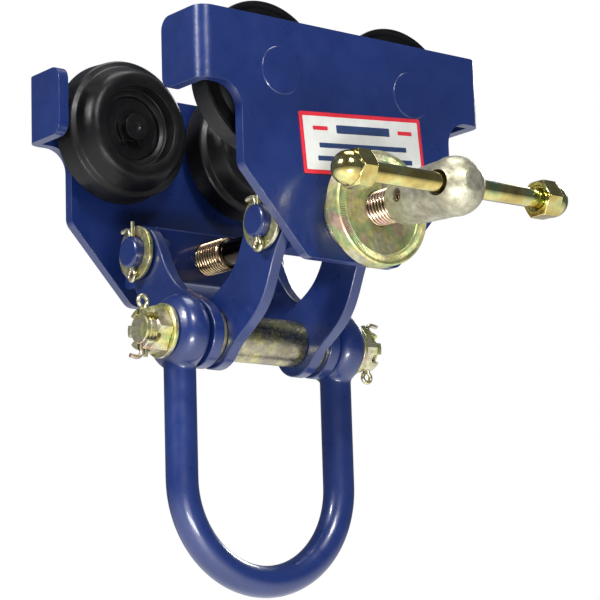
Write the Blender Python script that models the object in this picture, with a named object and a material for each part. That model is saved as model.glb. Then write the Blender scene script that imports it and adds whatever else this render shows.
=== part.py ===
"""Beam trolley with a screw-adjusted width: two wheeled side plates, hung on four links from a load bolt.

The beam runs along X, and the handle is at the front (-Y). Z is up. The origin is the middle of the
plane that the four wheels run on, so the beam's lower flange lies just below it.
Sizes are in millimetres and are scaled to metres as the meshes are made.
"""
import math

import bmesh
import bpy
from mathutils import Matrix, Vector

MM = 0.001
GAP = 0.3                      # free space left between pieces that touch
SIDES_ROUND = 20               # facets of most round pieces
WHEEL_SIDES = 26

# Driving dimensions
WHEELBASE = 115.0
AXLE_Z = 38.0                  # wheel tread radius, so the wheels run on z = 0
PLATE_FACE = 107.0             # outer face of each side plate, from the middle
PLATE_THICK = 8.0
PLATE_TOP = 74.0
PLATE_BOTTOM = -87.0
BUMPER_BOTTOM = 24.5
BUMPER_DEPTH = 44.0            # outer face of the plate to the end of its bent bumper
PLATE_LENGTH = 247.8
BEND_RADIUS = 10.0             # outside radius of the bend
SCREW_Z = -55.3
PIN_Y = 64.6                   # stub-pin axis, from the middle
BOLT_Z = -124.0                # load bolt and shackle axis
LINK_THICK = 9.0
FRONT_LINK_X = 32.0            # inner face of each front link
REAR_LINK_X = 46.8             # inner face of each rear link
PIN_R = 11.5
BOLT_R = 11.0
ROD_R = 12.0
BAR_R = 6.5                    # tommy bar
BAR_X, BAR_Y = -3.1, -212.0
LABEL_CORNER = (-44.5, 12.0)   # top left corner of the label, across and up
LABEL_SIZE = (108.0, 42.5)
LABEL_TILT = 5.0               # degrees
SHACKLE_R = 11.25
SHACKLE_HALF = 68.75           # leg centreline
SHACKLE_STRAIGHT = 100.5       # bolt axis to the start of the round bow
COTTER_HOLE_R = 2.4
PIN_HOLE_Y = -172.0            # the spring pin that holds the hub on the rod
STOP_SHOULDER = 121.5          # shoulder near the rod's rear end, for its stop washer

# Wheel parts, placed by their depth in from the plate's outer face
AXLE_PLUG_R = 16.0
JOURNAL_R = 9.7
BEARING_R = 23.4
BEARING_BACK = 18.3
BEARING_FRONT = 36.5
CLIP_BACK = 37.2
CLIP_FRONT = 38.7

LEFT, RIGHT = -1, 1
FRONT, REAR = -1, 1
SIDES = {"left": LEFT, "right": RIGHT}

# Colour, metallic value and roughness of each finish
FINISHES = {
    "blue_paint": ((0.030, 0.055, 0.230), 0.0, 0.30),
    "black_wheel": ((0.012, 0.012, 0.015), 0.0, 0.35),
    "yellow_zinc": ((0.55, 0.47, 0.24), 1.0, 0.30),
    "dull_zinc": ((0.50, 0.49, 0.42), 1.0, 0.42),
    "bright_steel": ((0.60, 0.60, 0.60), 1.0, 0.25),
    "label": ((0.80, 0.80, 0.82), 0.0, 0.40),
}

# Each rigid group's empty: the group it is carried by, and the point on its joint axis
GROUPS = {
    "front_side": (None, (0, 0, 0)),
    "front_links": ("front_side", (0, -PIN_Y, SCREW_Z)),
    "load_bolt": ("front_links", (0, 0, BOLT_Z)),
    "shackle": ("load_bolt", (0, 0, BOLT_Z)),
    "rear_links": ("front_links", (0, 0, BOLT_Z)),
    "rear_side": ("rear_links", (0, PIN_Y, SCREW_Z)),
    "screw_carriage": ("front_side", (0, 0, SCREW_Z)),
    "screw": ("screw_carriage", (0, 0, SCREW_Z)),
    "tommy_bar": ("screw", (0, BAR_Y, SCREW_Z)),
    "lock_washer": ("front_side", (0, -PLATE_FACE, SCREW_Z)),
    "lock_nut": ("lock_washer", (0, -PLATE_FACE, SCREW_Z)),
}


# ---------------------------------------------------------------- outlines

def arc(centre, radius, start, end, steps):
    """Points along an arc, with the angles in degrees."""
    angles = [math.radians(start + (end - start) * i / steps) for i in range(steps + 1)]
    return [(centre[0] + radius * math.cos(a), centre[1] + radius * math.sin(a)) for a in angles]


def rounded(corners, steps=4):
    """A closed outline through (x, y, radius) corners, each one rounded by an arc."""
    outline = []
    for i, (x, y, radius) in enumerate(corners):
        here = Vector((x, y))
        if not radius:
            outline.append((x, y))
            continue
        before = (Vector(corners[i - 1][:2]) - here).normalized()
        after = (Vector(corners[(i + 1) % len(corners)][:2]) - here).normalized()
        half = before.angle(after) / 2
        centre = here + (before + after).normalized() * radius / math.sin(half)
        first = here + before * radius / math.tan(half) - centre
        turn = first.angle_signed(here + after * radius / math.tan(half) - centre)
        for k in range(steps + 1):
            outline.append(tuple(centre + first @ Matrix.Rotation(turn * k / steps, 2)))
    return outline


def hexagon(across_flats):
    """A hexagon with a corner on the first axis."""
    radius = across_flats / math.sqrt(3)
    return arc((0, 0), radius, 0, 300, 5)


# ---------------------------------------------------------------- meshes

def spread(axis, along, first, second=0.0):
    """A point from its distance along an axis and its two distances across it."""
    return {"X": (along, first, second), "Y": (first, along, second), "Z": (first, second, along)}[axis]


def turned(profile, axis, sides):
    """Revolve (along, radius) points about an axis. A profile off the axis closes into a ring."""
    bm = bmesh.new()
    verts = [bm.verts.new(spread(axis, along, radius)) for along, radius in profile]
    edges = [bm.edges.new(pair) for pair in zip(verts, verts[1:])]
    if profile[0][1] > 0:
        edges.append(bm.edges.new((verts[-1], verts[0])))
    bmesh.ops.spin(bm, geom=verts + edges, cent=(0, 0, 0), axis=spread(axis, 1, 0),
                   angle=math.tau, steps=sides, use_merge=True)
    bmesh.ops.remove_doubles(bm, verts=bm.verts, dist=0.0001)
    return bm


def prism(outline, axis, low, high):
    """Extrude a closed outline along an axis, from low to high."""
    bm = bmesh.new()
    face = bm.faces.new([bm.verts.new(spread(axis, low, a, b)) for a, b in outline])
    grown = bmesh.ops.extrude_face_region(bm, geom=[face])["geom"]
    moved = [item for item in grown if isinstance(item, bmesh.types.BMVert)]
    bmesh.ops.translate(bm, verts=moved, vec=spread(axis, high - low, 0))
    return bm


def box(low, high):
    """A rectangular block between two corners."""
    return prism([(low[0], low[1]), (high[0], low[1]), (high[0], high[1]), (low[0], high[1])],
                 "Z", low[2], high[2])


def rod(axis, low, high, radius, sides=SIDES_ROUND):
    """A plain round bar along an axis."""
    return turned([(low, 0), (low, radius), (high, radius), (high, 0)], axis, sides)


def swept(path, radius, sides):
    """A round wire along a path of (x, z) points in the XZ plane."""
    bm = bmesh.new()
    rings = []
    for i, (x, z) in enumerate(path):
        ahead = path[min(i + 1, len(path) - 1)]
        behind = path[max(i - 1, 0)]
        run = Vector((ahead[0] - behind[0], 0, ahead[1] - behind[1])).normalized()
        across = run.cross(Vector((0, 1, 0)))
        angles = [math.tau * k / sides for k in range(sides)]
        rings.append([bm.verts.new(Vector((x, 0, z)) + radius * (across * math.cos(a)
                      + Vector((0, 1, 0)) * math.sin(a))) for a in angles])
    for one, two in zip(rings, rings[1:]):
        for k in range(sides):
            n = (k + 1) % sides
            bm.faces.new((one[k], one[n], two[n], two[k]))
    bm.faces.new(rings[0])
    bm.faces.new(rings[-1])
    return bm


# ---------------------------------------------------------------- objects

def material(finish):
    """The Principled material of a finish, made once."""
    if finish not in bpy.data.materials:
        made = bpy.data.materials.new(finish)
        made.use_nodes = True
        colour, metallic, roughness = FINISHES[finish]
        shader = made.node_tree.nodes["Principled BSDF"]
        shader.inputs["Base Color"].default_value = (*colour, 1)
        shader.inputs["Metallic"].default_value = metallic
        shader.inputs["Roughness"].default_value = roughness
    return bpy.data.materials[finish]


def make_groups():
    """The empties on the joint axes, one for each rigid group."""
    for name, (parent, point) in GROUPS.items():
        empty = bpy.data.objects.new(name + "_axis", None)
        bpy.context.collection.objects.link(empty)
        if parent:
            empty.parent = bpy.data.objects[parent + "_axis"]
            point = Vector(point) - Vector(GROUPS[parent][1])
        empty.location = Vector(point) * MM


def add(name, bm, at, group, finish):
    """An object from a mesh in millimetres, placed at a world point and carried by its group."""
    bmesh.ops.recalc_face_normals(bm, faces=bm.faces)
    bmesh.ops.scale(bm, vec=(MM, MM, MM), verts=bm.verts)
    mesh = bpy.data.meshes.new(name)
    bm.to_mesh(mesh)
    bm.free()
    mesh.shade_smooth()
    mesh.set_sharp_from_angle(angle=math.radians(35))
    mesh.materials.append(material(finish))
    made = bpy.data.objects.new(name, mesh)
    bpy.context.collection.objects.link(made)
    made.parent = bpy.data.objects[group + "_axis"]
    made.location = (Vector(at) - Vector(GROUPS[group][1])) * MM
    return made


def combine(target, bm, operation="DIFFERENCE"):
    """Cut a mesh from an object, or join it on. The mesh is in the object's own frame."""
    tool = add(f"{target.name}_tool{len(target.modifiers)}", bm, (0, 0, 0), "front_side", "bright_steel")
    tool.parent = target
    tool.location = (0, 0, 0)
    tool.hide_render = True
    tool.display_type = "WIRE"
    boolean = target.modifiers.new(operation.title(), "BOOLEAN")
    boolean.operation = operation
    boolean.solver = "EXACT"
    boolean.object = tool


# ---------------------------------------------------------------- side plates and wheels

def bent(point, side):
    """Where a point of the flat blank lies once the bumpers are bent in at both ends."""
    x, depth, z = point
    bend_start = PLATE_LENGTH / 2 - BEND_RADIUS
    beyond = abs(x) - bend_start
    across = math.copysign(1, x)
    if beyond <= 0:
        return x, side * (PLATE_FACE - depth), z
    angle = min(beyond / BEND_RADIUS, math.pi / 2)
    straight = max(beyond - BEND_RADIUS * math.pi / 2, 0)
    radius = BEND_RADIUS - depth
    return (across * (bend_start + radius * math.sin(angle)),
            side * (PLATE_FACE - BEND_RADIUS + radius * math.cos(angle) - straight), z)


def side_plate(name, side, group):
    """A flat blank with rounded corners, bent at both ends, with holes for axles and screw."""
    bend_start = PLATE_LENGTH / 2 - BEND_RADIUS
    bend_run = BEND_RADIUS * math.pi / 2
    end = bend_start + bend_run + BUMPER_DEPTH - BEND_RADIUS
    half = [(39, PLATE_BOTTOM, 10), (91, -30, 10), (91, BUMPER_BOTTOM, 17),
            (end, BUMPER_BOTTOM, 9), (end, PLATE_TOP, 9)]
    bm = prism(rounded(half + [(-x, z, r) for x, z, r in reversed(half)]), "Y", 0, PLATE_THICK)
    for across in (LEFT, RIGHT):
        for k in range(5):
            everything = bm.verts[:] + bm.edges[:] + bm.faces[:]
            bmesh.ops.bisect_plane(bm, geom=everything, plane_no=(1, 0, 0),
                                   plane_co=(across * (bend_start + bend_run * k / 4), 0, 0))
    for vert in bm.verts:
        vert.co = bent(vert.co, side)
    plate = add(name, bm, (0, 0, 0), group, "blue_paint")
    low, high = sorted((side * (PLATE_FACE + 5), side * (PLATE_FACE - PLATE_THICK - 5)))
    for x, z, radius in ((-WHEELBASE / 2, AXLE_Z, AXLE_PLUG_R + GAP),
                         (WHEELBASE / 2, AXLE_Z, AXLE_PLUG_R + GAP), (0, SCREW_Z, ROD_R + 1.5)):
        hole = rod("Y", low, high, radius)
        bmesh.ops.translate(hole, verts=hole.verts, vec=(x, 0, z))
        combine(plate, hole)


def inward(profile, side):
    """A profile of (depth, radius) turned to face in from the front or the rear plate."""
    return [(-side * depth, radius) for depth, radius in profile]


def wheel_set(place, side, x_side, group):
    """One wheel with its bearing, its axle and the circlip that keeps it on."""
    at = (x_side * WHEELBASE / 2, side * PLATE_FACE, AXLE_Z)
    wheel_group = place + "_wheel"
    wheel = [(15.5, 20), (15.5, 36), (18, 40), (16.5, 51), (17.6, 52.5), (32, 50.2), (36.8, 47.3),
             (38.8, 42), (41, 40.2), (49.6, 36.5), (46.3, 30), (38.5, 28.8), (38.5, BEARING_R + GAP),
             (BEARING_BACK - GAP, BEARING_R + GAP), (BEARING_BACK - GAP, 20)]
    bearing = [(BEARING_BACK, JOURNAL_R + GAP), (BEARING_BACK, BEARING_R),
               (BEARING_FRONT, BEARING_R), (BEARING_FRONT, JOURNAL_R + GAP)]
    axle = [(-0.8, 0), (-0.8, AXLE_PLUG_R), (PLATE_THICK, AXLE_PLUG_R),
            (PLATE_THICK, 13.5), (BEARING_BACK - GAP, 13.5), (BEARING_BACK - GAP, JOURNAL_R),
            (CLIP_BACK - GAP, JOURNAL_R), (CLIP_BACK - GAP, 8.7), (CLIP_FRONT + GAP, 8.7),
            (CLIP_FRONT + GAP, JOURNAL_R), (44.5, JOURNAL_R), (44.5, 0)]
    add(place + "_wheel", turned(inward(wheel, side), "Y", WHEEL_SIDES), at, wheel_group, "black_wheel")
    add(place + "_bearing", turned(inward(bearing, side), "Y", SIDES_ROUND), at, wheel_group, "bright_steel")
    add(place + "_axle", turned(inward(axle, side), "Y", SIDES_ROUND), at, group, "blue_paint")
    open_ring = arc((0, 0), 13, -60, 240, 10) + arc((0, 0), 9.1, 240, -60, 10)
    clip = prism(open_ring, "Y", *sorted((-side * CLIP_BACK, -side * CLIP_FRONT)))
    add(place + "_circlip", clip, at, group, "bright_steel")


# ---------------------------------------------------------------- links and their pins

def ring(axis, low, high, inner, outer, sides=SIDES_ROUND):
    """A plain washer or sleeve."""
    return turned([(low, inner), (low, outer), (high, outer), (high, inner)], axis, sides)


def nut_block(name, side, half, pin_end, cotter_x, group):
    """The block on the plate's inner face that the screw turns in, with a stub pin at each end."""
    low, high = sorted((side * (PLATE_FACE - PLATE_THICK - GAP), side * 58.0))
    corners = [(low, -20, 2), (high, -20, 2), (high, 20, 2), (low, 20, 2)]
    body = prism([(y - side * PIN_Y, z) for y, z in rounded(corners, 2)], "X", -half, half)
    block = add(name, body, (0, side * PIN_Y, SCREW_Z), group, "blue_paint")
    boss = half - 8
    end = [(boss, 6), (boss, 14), (half - GAP, 14), (half - GAP, PIN_R),
           (pin_end - 1.5, PIN_R), (pin_end, PIN_R - 1.5), (pin_end, 0)]
    combine(block, turned([(-x, r) for x, r in reversed(end)] + end, "X", SIDES_ROUND), "UNION")
    bore = rod("Y", -60, 60, ROD_R + GAP)
    combine(block, bore)
    for x_side in (LEFT, RIGHT):
        hole = rod("Z", -PIN_R - 5, PIN_R + 5, COTTER_HOLE_R, 8)
        bmesh.ops.translate(hole, verts=hole.verts, vec=(x_side * cotter_x, 0, 0))
        combine(block, hole)


def link_outline(length, pin_radius=20.0, bolt_radius=23.5, slim=10.75, bulge=9.25):
    """A link's edge, as (along, across) points from its pin to its bolt. It bows to positive across."""
    def edge(sign, swell):
        steps = [i / 8 for i in range(1, 8)]
        widths = [pin_radius + (bolt_radius - pin_radius) * s + swell * math.sin(math.pi * s) ** 2
                  for s in steps]
        return [(length * s, sign * w) for s, w in zip(steps, widths)]
    return (arc((0, 0), pin_radius, 270, 90, 8) + edge(1, bulge)
            + arc((length, 0), bolt_radius, 90, -90, 8) + edge(-1, -slim)[::-1])


def link(name, side, inner_x, x_side, group):
    """A link plate that hangs from a stub pin and carries the load bolt."""
    pin = Vector((side * PIN_Y, SCREW_Z))
    run = Vector((0, BOLT_Z)) - pin
    length = run.length
    run.normalize()
    outward = Vector((side * abs(run.y), -abs(run.x)))
    outline = [tuple(run * along + outward * across) for along, across in link_outline(length)]
    low, high = sorted((x_side * inner_x, x_side * (inner_x + LINK_THICK)))
    origin = pin if group == "front_links" else Vector((0, BOLT_Z))
    shift = pin - origin
    bm = prism([(y + shift.x, z + shift.y) for y, z in outline], "X", low, high)
    made = add(name, bm, (0, origin.x, origin.y), group, "blue_paint")
    for (y, z), radius in ((shift, PIN_R + GAP), (shift + run * length, BOLT_R + GAP)):
        hole = rod("X", low - 3, high + 3, radius)
        bmesh.ops.translate(hole, verts=hole.verts, vec=(0, y, z))
        combine(made, hole)


def cotter(name, at, group, heading, legs_up, clear, tall):
    """A split pin: an eye, two legs through the hole, and one leg bent away towards its heading."""
    wire, offset, eye = 0.95, 1.15, 3.4
    eye_centre = -(clear + wire + math.sqrt(eye ** 2 - offset ** 2) + 0.6)
    opening = math.degrees(math.asin(offset / eye))
    bend = arc((offset + 4.5, clear + 1), 4.5, 90, 180, 3)
    path = [(offset + 10, clear + 5.5)] + bend
    path += arc((0, eye_centre), eye, 90 - opening, -270 + opening, 9)
    path += [(-offset, 0), (-offset, tall)]
    bm = swept([(x, legs_up * z) for x, z in path], wire, 5)
    bmesh.ops.rotate(bm, verts=bm.verts, cent=(0, 0, 0),
                     matrix=Matrix.Rotation(math.radians(heading), 3, "Z"))
    add(name, bm, at, group, "yellow_zinc")


# ---------------------------------------------------------------- load bolt and shackle

def load_bolt():
    """The bolt with its sleeve, washers, castle nuts and cotters."""
    at = (0, 0, BOLT_Z)
    shank_end, bolt_end, thread_r, nut_back = 84.9, 102.5, 10.0, 85.5
    end = [(shank_end, BOLT_R), (shank_end, thread_r), (bolt_end - 1.2, thread_r),
           (bolt_end, thread_r - 1.2), (bolt_end, 0)]
    bolt = add("load_bolt", turned([(-x, r) for x, r in reversed(end)] + end, "X", SIDES_ROUND), at,
               "load_bolt", "yellow_zinc")
    sleeve_end = FRONT_LINK_X - GAP
    add("spacer_sleeve", ring("X", -sleeve_end, sleeve_end, BOLT_R + GAP, 16.5), at, "load_bolt",
        "yellow_zinc")
    cotter_x, slot_floor, crown_end = 98.6, 96.2, 101.5
    for word, x_side in SIDES.items():
        hole = rod("Z", -20, 20, COTTER_HOLE_R, 8)
        bmesh.ops.translate(hole, verts=hole.verts, vec=(x_side * cotter_x, 0, 0))
        combine(bolt, hole)
        spacer = sorted((x_side * (FRONT_LINK_X + LINK_THICK + GAP), x_side * (REAR_LINK_X - GAP)))
        add(word + "_spacer_washer", ring("X", *spacer, BOLT_R + GAP, 19), at, "load_bolt",
            "yellow_zinc")
        washer = sorted((x_side * 82.0, x_side * (nut_back - GAP)))
        add(word + "_nut_washer", ring("X", *washer, BOLT_R + GAP, 19), at, "load_bolt", "yellow_zinc")
        base = sorted((x_side * nut_back, x_side * slot_floor))
        nut = add(word + "_castle_nut", prism(hexagon(30), "X", *base), at, "load_bolt", "yellow_zinc")
        crown = sorted((x_side * (nut_back + 3), x_side * crown_end))
        combine(nut, rod("X", *crown, 14), "UNION")
        combine(nut, rod("X", -120, 120, thread_r + GAP))
        slot = sorted((x_side * (slot_floor - 0.2), x_side * (crown_end + 2)))
        for turn in range(3):
            cutter = box((slot[0], -3, -20), (slot[1], 3, 20))
            bmesh.ops.rotate(cutter, verts=cutter.verts, cent=(0, 0, 0),
                             matrix=Matrix.Rotation(math.radians(60 * turn), 3, "X"))
            combine(nut, cutter)
        cotter(word + "_nut_cotter", (x_side * cotter_x, 0, BOLT_Z), "load_bolt",
               0 if x_side == RIGHT else 180, x_side, 14.3, 19)


def shackle():
    """A round bar bent to a bow, with a turned eye on each leg."""
    at = (0, 0, BOLT_Z)
    path = ([(-SHACKLE_HALF, -13.0)]
            + arc((0, -SHACKLE_STRAIGHT), SHACKLE_HALF, 180, 360, 14)
            + [(SHACKLE_HALF, -13.0)])
    made = add("shackle", swept(path, SHACKLE_R, 12), at, "shackle", "blue_paint")
    half = [(3, 27), (8.2, 24.6), (12.5, 18.6), (12.5, 0)]
    eye = [(-x, r) for x, r in reversed(half)] + half
    for x_side in (LEFT, RIGHT):
        combine(made, turned([(x_side * SHACKLE_HALF + along, r) for along, r in eye], "X", SIDES_ROUND),
                "UNION")
    combine(made, rod("X", -90, 90, BOLT_R + GAP))


# ---------------------------------------------------------------- screw and handle

def screw():
    """The rod with a thread at each end, its end stop, and the hub pinned to its front end."""
    at = (0, 0, SCREW_Z)
    front, rear, neck = -196.0, 134.0, 29.0
    profile = [(front, 0), (front, ROD_R - 1.2), (front + 1.2, ROD_R), (-neck - 2, ROD_R),
               (-neck, 9), (neck, 9), (neck + 2, ROD_R), (STOP_SHOULDER, ROD_R), (STOP_SHOULDER, 9),
               (rear - 1, 9), (rear, 8), (rear, 0)]
    made = add("screw_rod", turned(profile, "Y", SIDES_ROUND), at, "screw", "yellow_zinc")
    pin_hole_r = 4.7
    hole = rod("X", -30, 30, pin_hole_r, 16)
    bmesh.ops.translate(hole, verts=hole.verts, vec=(0, PIN_HOLE_Y, 0))
    combine(made, hole)
    cotter_y = 129.6
    hole = rod("Z", -20, 20, COTTER_HOLE_R, 8)
    bmesh.ops.translate(hole, verts=hole.verts, vec=(0, cotter_y, 0))
    combine(made, hole)
    cotter("rod_end_cotter", (0, cotter_y, SCREW_Z), "screw", 90, 1, 9.3, 16)
    add("rod_end_washer", ring("Y", STOP_SHOULDER + GAP, STOP_SHOULDER + 3.3, 9 + GAP, 17), at,
        "screw_carriage", "yellow_zinc")
    ball = arc((-210, 0), 19.6, 72, 155, 5)
    hub_profile = [(-196.5, 0), (-196.5, ROD_R + GAP), (-157, ROD_R + GAP), (-157, 14.2), (-158, 15),
                   (-187, 18.2)] + ball + [(-228.6, 0)]
    hub = add("handle_hub", turned(hub_profile, "Y", SIDES_ROUND), at, "screw", "dull_zinc")
    for y, radius in ((PIN_HOLE_Y, pin_hole_r), (BAR_Y, 8.5)):
        hole = rod("X", -30, 30, radius, 20)
        bmesh.ops.translate(hole, verts=hole.verts, vec=(0, y, 0))
        combine(hub, hole)
    add("spring_pin", ring("X", -14, 14, 2.8, pin_hole_r - GAP, 16), (0, PIN_HOLE_Y, SCREW_Z),
        "screw", "bright_steel")


def tommy_bar():
    """The loose bar through the hub, slid a little to the left, with a domed nut on each end."""
    at = (BAR_X, BAR_Y, SCREW_Z)
    bar_end, nut_back, hex_end = 84.0, 73.0, 85.0
    add("tommy_bar", rod("X", -bar_end, bar_end, BAR_R, 20), at, "tommy_bar", "yellow_zinc")
    for word, x_side in SIDES.items():
        hexed = sorted((x_side * nut_back, x_side * hex_end))
        nut = add(word + "_acorn_nut", prism(hexagon(23.5), "X", *hexed), at, "tommy_bar", "yellow_zinc")
        dome = [(80, 0), (80, 11.4), (87, 11.4), (92, 10), (96, 7), (98, 3.5), (98.5, 0)]
        combine(nut, turned([(x_side * x, r) for x, r in dome], "X", 20), "UNION")
        combine(nut, rod("X", *sorted((x_side * 60, x_side * (bar_end + 1))), BAR_R + GAP, 20))


def lock_nut():
    """The disc nut that jams on the front plate, with the loose washer behind it."""
    at = (0, -PLATE_FACE, SCREW_Z)
    bore = ROD_R + GAP
    add("lock_washer", ring("Y", -GAP - 3, -GAP, bore, 25), at, "lock_washer", "yellow_zinc")
    profile = [(-3.6, bore), (-3.6, 24), (-4.6, 25), (-19.8, 25), (-19.8, 38.2), (-20.8, 39.2),
               (-31.2, 39.2), (-32.2, 38.2), (-32.2, 32.6), (-30.4, 31.6), (-30.4, 15.2),
               (-31.4, 14.2), (-31.4, bore)]
    add("lock_nut", turned(profile, "Y", WHEEL_SIDES), at, "lock_nut", "yellow_zinc")


def label_plate():
    """A thin plate stuck, slightly tilted, on the front plate's outer face beside the screw."""
    left, top = LABEL_CORNER
    wide, tall = LABEL_SIZE
    corners = [(0, -tall, 2), (wide, -tall, 2), (wide, 0, 2), (0, 0, 2)]
    bm = prism(rounded(corners, 2), "Y", -PLATE_FACE - 0.9, -PLATE_FACE - GAP)
    bmesh.ops.rotate(bm, verts=bm.verts, cent=(0, 0, 0),
                     matrix=Matrix.Rotation(-math.radians(LABEL_TILT), 3, "Y"))
    add("label_plate", bm, (left, 0, top), "front_side", "label")


def side_assembly(place, side, group, block):
    """A side plate with its nut block, wheels, pin washers and cotters."""
    side_plate(place + "_side_plate", side, group)
    half, washer_x, cotter_x, pin_end = block
    nut_block(place + "_nut_block", side, half, pin_end, cotter_x, group)
    pin_at = (0, side * PIN_Y, SCREW_Z)
    for word, x_side in SIDES.items():
        wheel_set(f"{place}_{word}", side, x_side, group)
        washer = sorted((x_side * washer_x, x_side * (washer_x + 3)))
        add(f"{place}_{word}_pin_washer", ring("X", *washer, PIN_R + GAP, 19.5), pin_at, group,
            "yellow_zinc")
        cotter(f"{place}_{word}_pin_cotter", (x_side * cotter_x, side * PIN_Y, SCREW_Z), group,
               90, 1, 11.8, 22)


def main():
    """Build the whole trolley in an empty scene."""
    for old in list(bpy.data.objects):
        bpy.data.objects.remove(old, do_unlink=True)
    for place, side in (("front", FRONT), ("rear", REAR)):
        for word, x_side in SIDES.items():
            GROUPS[f"{place}_{word}_wheel"] = (place + "_side", (
                x_side * WHEELBASE / 2, side * PLATE_FACE, AXLE_Z))
    make_groups()
    side_assembly("front", FRONT, "front_side", (FRONT_LINK_X - GAP, 42.9, 48.3, 52.5))
    side_assembly("rear", REAR, "rear_side", (REAR_LINK_X - 1.1, 57.4, 62.8, 67))
    for word, x_side in SIDES.items():
        link(f"front_{word}_link", FRONT, FRONT_LINK_X, x_side, "front_links")
        link(f"rear_{word}_link", REAR, REAR_LINK_X, x_side, "rear_links")
    load_bolt()
    shackle()
    screw()
    tommy_bar()
    lock_nut()
    label_plate()


main()
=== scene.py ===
"""The beam trolley's finished look: blue enamel, black wheels and yellow-passivated fittings."""
import math

import bmesh
import bpy
from mathutils import Matrix, Vector


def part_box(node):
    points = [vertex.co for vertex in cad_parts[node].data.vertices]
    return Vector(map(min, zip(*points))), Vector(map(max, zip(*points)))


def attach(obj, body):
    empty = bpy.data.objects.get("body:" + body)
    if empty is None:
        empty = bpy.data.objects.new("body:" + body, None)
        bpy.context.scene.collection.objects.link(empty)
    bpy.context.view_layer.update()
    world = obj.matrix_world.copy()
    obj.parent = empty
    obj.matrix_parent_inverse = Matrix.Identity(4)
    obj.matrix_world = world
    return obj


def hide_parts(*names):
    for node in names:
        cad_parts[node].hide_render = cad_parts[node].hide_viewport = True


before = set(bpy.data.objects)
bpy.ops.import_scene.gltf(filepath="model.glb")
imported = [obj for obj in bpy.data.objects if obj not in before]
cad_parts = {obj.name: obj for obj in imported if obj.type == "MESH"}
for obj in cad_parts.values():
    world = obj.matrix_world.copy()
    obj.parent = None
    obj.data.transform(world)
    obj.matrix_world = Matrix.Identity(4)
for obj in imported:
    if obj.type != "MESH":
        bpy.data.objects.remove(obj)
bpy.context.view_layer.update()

MM = 0.001                     # shapes are worked out in millimetres and scaled as meshes are made
LEFT, RIGHT = -1, 1
X_SIDES = {"left": LEFT, "right": RIGHT}
Y_SIDES = {"front": -1, "rear": 1}


# ---------------------------------------------------------------- places read from the frame

def low(node):
    """A CAD node's lowest corner, in millimetres."""
    return Vector(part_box(node)[0]) / MM


def high(node):
    """A CAD node's highest corner, in millimetres."""
    return Vector(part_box(node)[1]) / MM


def middle(node):
    """The middle of a CAD node's box, in millimetres."""
    return (low(node) + high(node)) / 2


PLATE_FACE = -low("front_side_plate").y
PLATE_THICK = 8.0
PLATE_HALF = high("front_side_plate").x
PLATE_TOP = high("front_side_plate").z
PLATE_BOTTOM = low("front_side_plate").z
BUMPER_DEPTH = PLATE_FACE + high("front_side_plate").y
BUMPER_BOTTOM = 24.5
BEND_RADIUS = 10.0
AXLE = middle("front_right_bearing")
SCREW = Vector((0, 0, middle("spring_pin").z))
PIN_Y = middle("rear_left_pin_washer").y
BOLT = middle("spacer_sleeve")
BAR = middle("tommy_bar")
PIN_R, BOLT_R, ROD_R, BAR_R = 11.5, 11.0, 12.0, 6.5
CLEAR = 0.3
NUT_COTTER_X, END_COTTER_Y = 98.6, 129.6


# ---------------------------------------------------------------- outlines

def arc(centre, radius, start, end, steps):
    """Points along an arc, with the angles in degrees."""
    angles = [math.radians(start + (end - start) * i / steps) for i in range(steps + 1)]
    return [(centre[0] + radius * math.cos(a), centre[1] + radius * math.sin(a)) for a in angles]


def rounded(corners, steps=5):
    """A closed outline through (x, y, radius) corners, each one rounded by an arc."""
    outline = []
    for i, (x, y, radius) in enumerate(corners):
        here = Vector((x, y))
        if not radius:
            outline.append((x, y))
            continue
        before = (Vector(corners[i - 1][:2]) - here).normalized()
        after = (Vector(corners[(i + 1) % len(corners)][:2]) - here).normalized()
        half = before.angle(after) / 2
        centre = here + (before + after).normalized() * radius / math.sin(half)
        first = here + before * radius / math.tan(half) - centre
        turn = first.angle_signed(here + after * radius / math.tan(half) - centre)
        for k in range(steps + 1):
            outline.append(tuple(centre + first @ Matrix.Rotation(turn * k / steps, 2)))
    return outline


def softened(profile, radius, steps=3):
    """A turned profile of (along, radius) points with each corner off the axis rounded."""
    closed = profile[0][1] > 0
    corners = [(a, r, radius if closed or 0 < i < len(profile) - 1 else 0)
               for i, (a, r) in enumerate(profile)]
    return rounded(corners, steps)


# ---------------------------------------------------------------- meshes

def spread(axis, along, first, second=0.0):
    """A point from its distance along an axis and its two distances across it."""
    return {"X": (along, first, second), "Y": (first, along, second), "Z": (first, second, along)}[axis]


def turned(profile, axis, sides=72):
    """Revolve (along, radius) points about an axis. A profile off the axis closes into a ring."""
    bm = bmesh.new()
    verts = [bm.verts.new(spread(axis, along, radius)) for along, radius in profile]
    edges = [bm.edges.new(pair) for pair in zip(verts, verts[1:])]
    if profile[0][1] > 0:
        edges.append(bm.edges.new((verts[-1], verts[0])))
    bmesh.ops.spin(bm, geom=verts + edges, cent=(0, 0, 0), axis=spread(axis, 1, 0),
                   angle=math.tau, steps=sides, use_merge=True)
    bmesh.ops.remove_doubles(bm, verts=bm.verts, dist=0.0001)
    return bm


def prism(outline, axis, start, end):
    """Extrude a closed outline along an axis."""
    bm = bmesh.new()
    face = bm.faces.new([bm.verts.new(spread(axis, start, a, b)) for a, b in outline])
    grown = bmesh.ops.extrude_face_region(bm, geom=[face])["geom"]
    moved = [item for item in grown if isinstance(item, bmesh.types.BMVert)]
    bmesh.ops.translate(bm, verts=moved, vec=spread(axis, end - start, 0))
    return bm


def rod(axis, start, end, radius, sides=48):
    """A plain round bar, also used as a drill."""
    return turned([(start, 0), (start, radius), (end, radius), (end, 0)], axis, sides)


def moved(bm, offset):
    """The same mesh, shifted."""
    bmesh.ops.translate(bm, verts=bm.verts, vec=offset)
    return bm


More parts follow.
